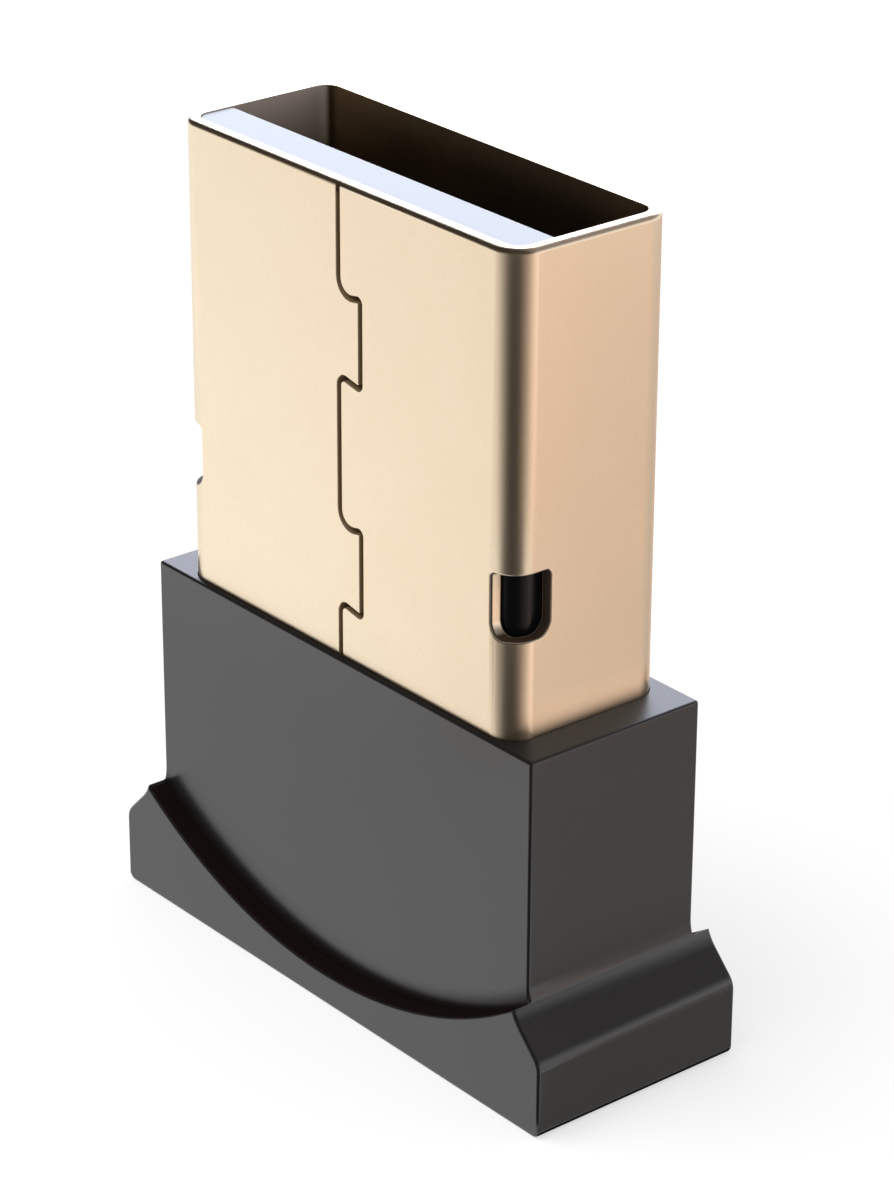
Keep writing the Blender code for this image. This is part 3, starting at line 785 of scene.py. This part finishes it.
def rowTree():  # sets one blade out in two pairs, the outer pair longer
    lengths = ["Inner Pitch", "Outer Pitch", "Outer Longer By", "Stretch Above"]
    inputs = {"Geometry": ["Blade"], "Float": lengths, "Material": ["Material"]}
    board, given = startTree("contactRow", inputs)
    height = board.split(board.add("GeometryNodeInputPosition"))[2]
    above = height.sum("GREATER_THAN", given["Stretch Above"])
    lift = board.add("ShaderNodeCombineXYZ", {"Z": given["Outer Longer By"]})
    longer = board.add("GeometryNodeSetPosition", {
        "Geometry": given["Blade"], "Selection": above, "Offset": lift,
    })
    row = board.tree.nodes.new("GeometryNodeJoinGeometry")
    for blade, pitch in ((given["Blade"], given["Inner Pitch"]), (longer, given["Outer Pitch"])):
        first = board.add("ShaderNodeCombineXYZ", {"X": pitch / -2})
        stride = board.add("ShaderNodeCombineXYZ", {"X": pitch})
        ends = {"Count": 2, "Start Location": first, "Offset": stride}
        pair = board.add("GeometryNodeMeshLine", ends)
        placed = board.add("GeometryNodeInstanceOnPoints", {"Points": pair, "Instance": blade})
        placed.into(row.inputs[0])
    return endTree(board, Wire(board, row.outputs[0]), given["Material"])


def makeContacts():
    outerLow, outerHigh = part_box(contactNodes[0])
    innerLow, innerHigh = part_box(contactNodes[1])
    blade = makeBlade(innerLow.z, innerHigh.z, innerHigh.y, innerLow.y)
    blades = growPiece("contactBlades", rowTree(), {
        "Inner Pitch": abs(innerLow.x + innerHigh.x),
        "Outer Pitch": abs(outerLow.x + outerHigh.x),
        "Outer Longer By": outerHigh.z - innerHigh.z,
        "Stretch Above": (innerLow.z + innerHigh.z) / 2,
        "Material": contactGold,
    }, blade)
    return finishPiece(blades, contactNodes, contactGold)


contactTongue = makeTongue()
rearRetainer = makeRetainer()
contactBlades = makeContacts()
print("insulator and contacts made")


# Housing

def archLevel(x):
    radius, lowest = archCircle()
    return lowest + radius - math.sqrt(radius ** 2 - x ** 2)


def archTool(name, outward):  # outward is -1 in front and 1 behind
    size = housingSize
    reach = housingHigh.x
    stride = 2 * reach / size["archSteps"]
    across = [number * stride - reach for number in range(size["archSteps"] + 1)]
    path = [Vector((x, archLevel(x))) for x in across]
    path += [Vector((x, housingHigh.z + toolPast)) for x in (reach, -reach)]
    plane = outward * size["bodyDepth"] / 2 * mm
    far = outward * (housingHigh.y + toolPast)
    return prism(name, path, "y", min(plane, far), max(plane, far))


def makeHousing():
    size = housingSize
    half = size["bodyWidth"] / 2 * mm
    slopeTop = (size["bandHeight"] + size["slopeRise"]) * mm
    right = [
        (housingHigh.x, 0.0, size["skirtRadius"] * mm),
        (housingHigh.x, size["bandHeight"] * mm, size["ridgeRadius"] * mm),
        (half, slopeTop, size["coveRadius"] * mm),
        (half, housingHigh.z, 0.0),
    ]
    outline = right + [(-x, z, radius) for x, z, radius in reversed(right)]
    housing = prism("housingShell", roundedPath(outline, steps=12), "y", housingLow.y, housingHigh.y)
    spare = size["pocketSpare"] * mm
    corner = shellSize["cornerRadius"] * mm
    ledge = size["seatLedge"] * mm
    floor, over = size["floor"] * mm, housingHigh.z + toolPast
    low, high = shellLow.x - spare, shellHigh.x + spare
    upperPlan = rectangle((low, shellLow.y - spare), (high, shellHigh.y + spare), corner + spare)
    lowerPlan = rectangle((low, shellLow.y + ledge), (high, shellHigh.y - ledge), corner)
    boardLow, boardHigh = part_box("circuit_board")
    slotLow = (boardLow.x - spare, boardLow.y - spare, (size["floor"] - size["boardSlot"]) * mm)
    slotHigh = (boardHigh.x + spare, boardHigh.y + spare, floor + toolPast)
    carve(housing, [
        archTool("archToolFront", -1),
        archTool("archToolBack", 1),
        prism("plugPocketTool", roundedPath(upperPlan, 18), "z", retainerLow.z - spare, over),
        prism("boardPocketTool", roundedPath(lowerPlan, 12), "z", floor, retainerLow.z + toolPast),
        block("boardSlotTool", slotLow, slotHigh),
    ])
    bodyFace = size["bodyDepth"] / 2 * mm

    def onCorner(end):
        besideEnd = half - samePlace < abs(end.x) < half + size["cornerSpan"] * mm
        return near(abs(end.y), bodyFace) and besideEnd

    def onTop(end):  # clear of the pocket's mouth
        past = max(abs(end.x) - shellHigh.x, abs(end.y) + shellLow.y)
        return near(end.z, housingHigh.z) and past > size["mouthClear"] * mm

    def outer(edge):  # crisp outside edges, but not the short ones where the ledge runs out
        ends = endsOf(edge)
        skirt = all(near(abs(end.y), housingHigh.y) for end in ends)
        upright = all(onCorner(end) for end in ends) and ends[0].y * ends[1].y > 0
        return bend(edge) > size["edgeCrisp"] and (skirt or upright or all(onTop(end) for end in ends))

    roundEdges(housing, outer, size["edgeRadius"] * mm, steps=4)
    return finishPiece(housing, ["housing"], blackPlastic)


housingShell = makeHousing()
print("housing moulded,", len(housingShell.data.polygons), "faces")


# Circuit board and the small parts on it, whose own shapes stay

boardLook = dict(
    mask=(0.008, 0.085, 0.035), overCopper=(0.02, 0.16, 0.06), core=(0.45, 0.36, 0.16),
    coreSpan=(-0.03, -0.015), coreRougher=0.4,  # in from the board's edge
    trackPitch=0.4, trackWidth=0.18, trackBlur=(-0.015, 0.015),
    turnSize=2.4, turnBlur=(0.49, 0.51),  # of the patches where tracks run across instead of up
    roughness=0.24, roughnessChange=0.12, grain=0.08, grainShare=0.2, relief=0.02,
)
epoxyLook = dict(
    colour=(0.018, 0.018, 0.020), fleck=(0.035, 0.034, 0.033),
    markRadius=0.12, markInset=0.32, markBlur=(-0.02, 0.02), markSmoother=0.3,
    roughness=0.5, roughnessChange=0.2, grain=0.05, grainShare=0.3, relief=0.02,
)
cappedLook = dict(
    tin=(0.74, 0.74, 0.72), capShare=0.24, capBlur=0.05, capSmoother=0.14,
    wave=0.08, waveSize=0.15, darker=0.7, darkShare=0.4,
    roughness=0.42, roughnessChange=0.15, grain=0.04, grainShare=0.3, relief=0.012,
)
canLook = dict(
    bright=(0.78, 0.77, 0.73), dark=(0.64, 0.63, 0.60),
    flangeSpan=(-0.22, -0.18), flangeRougher=0.12,  # in from the lid's outline
    roughness=0.2, roughnessChange=0.16, grain=0.06, drawn=(12, 1, 1), grainShare=0.2, relief=0.03,
)
chipBodies = dict(  # colour of the body between the tinned ends
    chip_antenna=(0.72, 0.76, 0.78), matching_inductor=(0.62, 0.68, 0.72),
    ferrite_bead=(0.045, 0.045, 0.05),
    resistor_data_minus=(0.02, 0.02, 0.03), resistor_data_plus=(0.02, 0.02, 0.03),
    capacitor_matching=(0.36, 0.25, 0.16), capacitor_supply=(0.33, 0.23, 0.15),
    capacitor_core=(0.36, 0.26, 0.17),
    capacitor_crystal_low=(0.40, 0.30, 0.20), capacitor_crystal_high=(0.40, 0.30, 0.20),
)
mouldedChips = ["radio_chip", "flash_memory", "voltage_regulator", "surge_diode"]


def dress(name, material):
    for slot in nodes[name].material_slots:
        slot.material = material


def pastSides(name, x, z):  # how far past the nearest side of a node's box, below 0 within
    low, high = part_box(name)
    middle, half = (low + high) / 2, (high - low) / 2
    return (abs(x - middle.x) - half.x).atLeast(abs(z - middle.z) - half.z)


def boardWires(board):
    look = boardLook
    where, (x, y, z) = board.place()
    turned = board.noise(where, look["turnSize"], 1.0).ease(*look["turnBlur"])
    lanes = [abs(way.sum("PINGPONG", look["trackPitch"] / 2 * mm)) for way in (x, z)]
    nearest = lanes[0] * (1 - turned) + lanes[1] * turned
    track = 1 - nearest.easeNear(look["trackWidth"] / 2 * mm, look["trackBlur"])
    bare = pastSides("circuit_board", x, z).easeNear(0.0, look["coreSpan"])
    grain = board.noise(where, look["grain"], 3.0)
    face = board.colours(track, look["mask"], look["overCopper"])
    height = track * (1 - look["grainShare"]) + grain * look["grainShare"]
    return {
        "Base Color": board.colours(bare, face, look["core"]),
        "Roughness": rough(look, grain) + bare * look["coreRougher"],
        "Normal": board.bump(height, look["relief"]),
    }


def epoxyWires(board, name):
    look = epoxyLook
    low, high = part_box(name)
    where, (x, y, z) = board.place()
    inset = look["markInset"] * mm
    across, up = x - (low.x + inset), z - (high.z - inset)
    squared = across * across + up * up
    mark = 1 - squared.sum("SQRT").easeNear(look["markRadius"] * mm, look["markBlur"])
    grain = board.noise(where, look["grain"], 4.0, 0.65)
    return {
        "Base Color": board.colours(grain.ease(0.45, 0.8), look["colour"], look["fleck"]),
        "Roughness": rough(look, grain) - mark * look["markSmoother"],
        "Normal": board.bump(grain * look["grainShare"] - mark, look["relief"]),
    }


def cappedWires(board, name, body):
    look = cappedLook
    low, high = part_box(name)
    axis = 0 if high.x - low.x > high.z - low.z else 2  # the way the part lies
    where, place = board.place()
    share = abs(place[axis] - (low[axis] + high[axis]) / 2) / ((high[axis] - low[axis]) / 2)
    wave = board.noise(where, look["waveSize"], 2.0) * look["wave"]
    start = 1 - 2 * look["capShare"]
    cap = (share + wave).ease(start, start + look["capBlur"])
    grain = board.noise(where, look["grain"], 3.0)
    dark = tuple(value * look["darker"] for value in body)
    shade = board.colours(grain.ease(0.4, 0.8) * look["darkShare"], body, dark)
    return {
        "Base Color": board.colours(cap, shade, look["tin"]),
        "Metallic": cap,
        "Roughness": rough(look, grain) - cap * look["capSmoother"],
        "Normal": board.bump(grain * look["grainShare"] + cap, look["relief"]),
    }


def canWires(board):
    look = canLook
    where, (x, y, z) = board.place()
    flange = pastSides("crystal", x, z).easeNear(0.0, look["flangeSpan"])
    grain = board.noise(where, look["grain"], 3.0, 0.6, look["drawn"])
    return {
        "Base Color": board.colours(grain.ease(0.3, 0.7), look["bright"], look["dark"]),
        "Roughness": rough(look, grain) + flange * look["flangeRougher"],
        "Normal": board.bump(grain * look["grainShare"] - flange, look["relief"]),
    }


dress("circuit_board", newMaterial("boardLaminate", {"IOR": 1.52}, boardWires))
dress("crystal", newMaterial("crystalCan", {"Metallic": 1.0}, canWires))
for name in mouldedChips:
    dress(name, newMaterial(name + "Epoxy", {"IOR": 1.5}, epoxyWires, name))
for name, body in chipBodies.items():
    dress(name, newMaterial(name + "Finish", {"IOR": 1.55}, cappedWires, name, body))
print("board and its parts dressed")


# Studio

stageLook = dict(
    centre=10,  # height of the middle of the sky
    floorColour=(0.56, 0.56, 0.56), floorRoughness=0.9, floorGlow=0.60, floorSide=3000, skyForLight=0.55,
    lampPower=0.28, lampSize=(200, 160), lampFrom=(-35, 62), lampDistance=260,
    cardLift=0.05,  # of the lowest floor card, and from each to the next
)

# Cards and flags are seen only in reflections. Angles are degrees round and up.
# "changes" are steps of brightness over a stretch of one axis: (from, to, step).
roseTint = (1.0, 0.80, 0.71)
cornerDark = dict(  # darkest towards one direction, white at both ends
    azimuths=(-54, 134), colour=(1.0, 0.93, 0.88), level=0.045, darkest=36, farColour=(1.0, 0.80, 0.70),
    bell=(0.13, 1.0), outerTurn=(50, 85), outerGain=0.28, colourTurn=(-30, 50),
)
skyCards = {
    "backBox": dict(
        azimuths=(-168, -104), elevations=(7, 41), distance=150, colour=(0.82, 0.86, 1.0), level=4.5,
    ),
    "backFlag": dict(
        azimuths=(104, 205), elevations=(-4, 75), distance=170, colour=(0.97, 0.97, 1.0), level=1.2,
        axis=2, changes=[(8, 100, -0.94)], farColour=(1.0, 0.88, 0.9), turning=(60, 120),
    ),
    "cornerSky": dict(cornerDark, elevations=(-0.5, 14), distance=300),
    "leftFlag": dict(
        azimuths=(-118, -15), elevations=(-1, 76), distance=180, colour=(1.0, 0.8, 0.6), level=0.03,
    ),
    "tent": dict(
        azimuths=(-180, 180), elevations=(9, 90), distance=200, colour=(1.0, 0.85, 0.7), level=0.05,
    ),
}
floorCards = {  # laid out from the point "past"
    "frontCard": dict(
        past=(8.1, -3.0), azimuths=(-100, -40), reach=(0.1, 150), colour=(1.0, 1.0, 1.0), level=1.0,
        axis=1, changes=[(-12, -15, 0.18), (-15, -34, -0.11)],
    ),
    "cornerFlag": dict(cornerDark, past=(6.0, -2.33), reach=(17, 300)),
    "edgeFlag": dict(
        past=(7.9, -2.99), azimuths=(-24, 88), reach=(0.3, 17), colour=(1.0, 0.9, 0.85), level=0.04,
    ),
    "sideCard": dict(
        past=(7.6, -3.4), azimuths=(130, 181), reach=(0.5, 72), colour=(1.0, 0.94, 0.89), level=0.41,
        axis=0, changes=[(10.3, 11.6, 0.20), (16, 19, -0.06), (19.2, 20.8, 0.14), (24, 40, -0.05)],
        farColour=roseTint, turning=(19.2, 20.8),
    ),
    "backCard": dict(past=(7.6, -3.4), azimuths=(181, 238), reach=(15, 150), colour=roseTint, level=0.71),
}
footCard = dict(low=(6.02, -1.55), high=(6.95, 3.05), over=0.02, colour=roseTint, level=0.0,
                axis=0, changes=[(5.9, 6.65, 0.78)])
# Dark sheet at the foot, seen only in reflections: painted contact shade.
contactShadeFlag = dict(past=0.13, over=0.02, colour=(1.0, 0.95, 0.9), level=0.02)


def glow(name, card, centre):
    material = bpy.data.materials.new(name)
    material.use_nodes = True
    tree = material.node_tree
    tree.nodes.clear()
    board = Board(tree)
    place = board.place()[1]
    level = card["level"]
    for begin, finish, change in card.get("changes", []):
        way = 1 if finish > begin else -1
        level = level + (place[card["axis"]] * way).easeNear(0.0, (begin * way, finish * way)) * change
    colour = card["colour"]
    if "turning" in card:
        turned = place[card["axis"]].easeNear(0.0, card["turning"])
        colour = board.colours(turned, colour, card["farColour"])
    if "darkest" in card:  # a soft bell over the degrees, white at both ends
        low, high = card["azimuths"]
        x, y = place[0] - centre.x, place[1] - centre.y
        turn = x.sum("ARCTAN2", -1 * y) * math.degrees(1) - card["darkest"]
        off = (turn / (low - card["darkest"])).atLeast(turn / (high - card["darkest"]))
        gain = 1 + turn.ease(*card["outerTurn"]) * card["outerGain"]
        level = (level + off.ease(*card["bell"]) * (1 - card["level"])) * gain
        colour = board.colours(turn.ease(*card["colourTurn"]), colour, card["farColour"])
    light = board.add("ShaderNodeEmission", {"Color": colour, "Strength": level})
    clear = board.add("ShaderNodeBsdfTransparent")
    below = board.add("ShaderNodeNewGeometry", output=6)
    shown = board.add("ShaderNodeMixShader", [below if "over" in card else 0.0, light, clear])
    shown.into(tree.nodes.new("ShaderNodeOutputMaterial").inputs["Surface"])
    return material


def reflectionOnly(card):
    for ray in ("camera", "diffuse", "transmission", "shadow"):
        setattr(card, "visible_" + ray, False)


def patch(name, card, centre, steps=16):  # a card over its degrees, up the sky or out over the floor
    shape = bmesh.new()
    low, high = card["azimuths"]
    sky = "distance" in card
    begin, finish = card["elevations" if sky else "reach"]
    rows = []
    for across in range(steps + 1):
        turn = low + (high - low) * across / steps
        rows.append([])
        for along in range(steps + 1):
            reach = begin + (finish - begin) * along / steps
            lift, out = (reach, card["distance"]) if sky else (0, reach)
            rows[-1].append(shape.verts.new(centre + direction(turn, lift) * out * mm))
    for first, second in zip(rows, rows[1:]):
        for index in range(steps):
            shape.faces.new((first[index], first[index + 1], second[index + 1], second[index]))
    reflectionOnly(pieceFrom(shape, name, glow(name, card, centre)))


def flat(name, width, depth, material, centre=Vector()):
    shape = bmesh.new()
    corners = [
        shape.verts.new((centre.x + x * width / 2, centre.y + y * depth / 2, 0))
        for x, y in ((-1, -1), (1, -1), (1, 1), (-1, 1))
    ]
    shape.faces.new(corners)
    return pieceFrom(shape, name, material)


def setCards(centre):
    for name, card in skyCards.items():
        patch(name, card, centre)
    step = stageLook["cardLift"]
    for number, (name, card) in enumerate(floorCards.items()):
        patch(name, card, Vector((*card["past"], step + step * number)) * mm)
    card = footCard  # over the housing's end beside the plug, open from below
    low, high = Vector((*card["low"], 0)) * mm, Vector((*card["high"], 0)) * mm
    middle = (low + high) / 2
    strip = flat("footCard", high.x - low.x, high.y - low.y, glow("footCard", card, middle), middle)
    strip.location.z = housingHigh.z + card["over"] * mm
    reflectionOnly(strip)
    card = contactShadeFlag  # a dark border round the foot, seen in reflections as painted contact shade
    border = [2 * (length + card["past"] * mm) for length in (housingHigh.x, housingHigh.y)]
    strip = flat("contactShadeFlag", *border, glow("contactShadeFlag", card, centre))
    strip.location.z = card["over"] * mm
    reflectionOnly(strip)


def floorWires(board):
    return {"Lit": board.seen() * stageLook["floorGlow"]}


def setFloor():
    floor = newMaterial("paleFloor", {
        "Base Color": stageLook["floorColour"],
        "Roughness": stageLook["floorRoughness"],
        "Specular IOR Level": 0.0,
    }, floorWires)
    side = stageLook["floorSide"] * mm
    ground = flat("floor", side, side, floor)


def setSky():
    world = bpy.data.worlds.new("studio")
    scene.world = world
    world.use_nodes = True
    seen = Board(world.node_tree).seen()
    level = seen + (1 - seen) * stageLook["skyForLight"]
    back = world.node_tree.nodes["Background"]
    level.into(back.inputs["Strength"])
    back.inputs["Color"].default_value = (1, 1, 1, 1)


def setLamp(centre):
    lamp = bpy.data.lights.new("topLamp", "AREA")
    lamp.shape = "RECTANGLE"
    lamp.size, lamp.size_y = [length * mm for length in stageLook["lampSize"]]
    lamp.energy = stageLook["lampPower"]
    top = bpy.data.objects.new("topLamp", lamp)
    scene.collection.objects.link(top)
    toward = direction(*stageLook["lampFrom"])
    top.rotation_mode = "QUATERNION"
    top.rotation_quaternion = toward.to_track_quat("Z", "Y")
    top.location = centre + toward * stageLook["lampDistance"] * mm
    top.visible_glossy = False


skyCentre = Vector((0, 0, stageLook["centre"] * mm))
setCards(skyCentre)
setFloor()
setSky()
setLamp(skyCentre)
print("studio set")
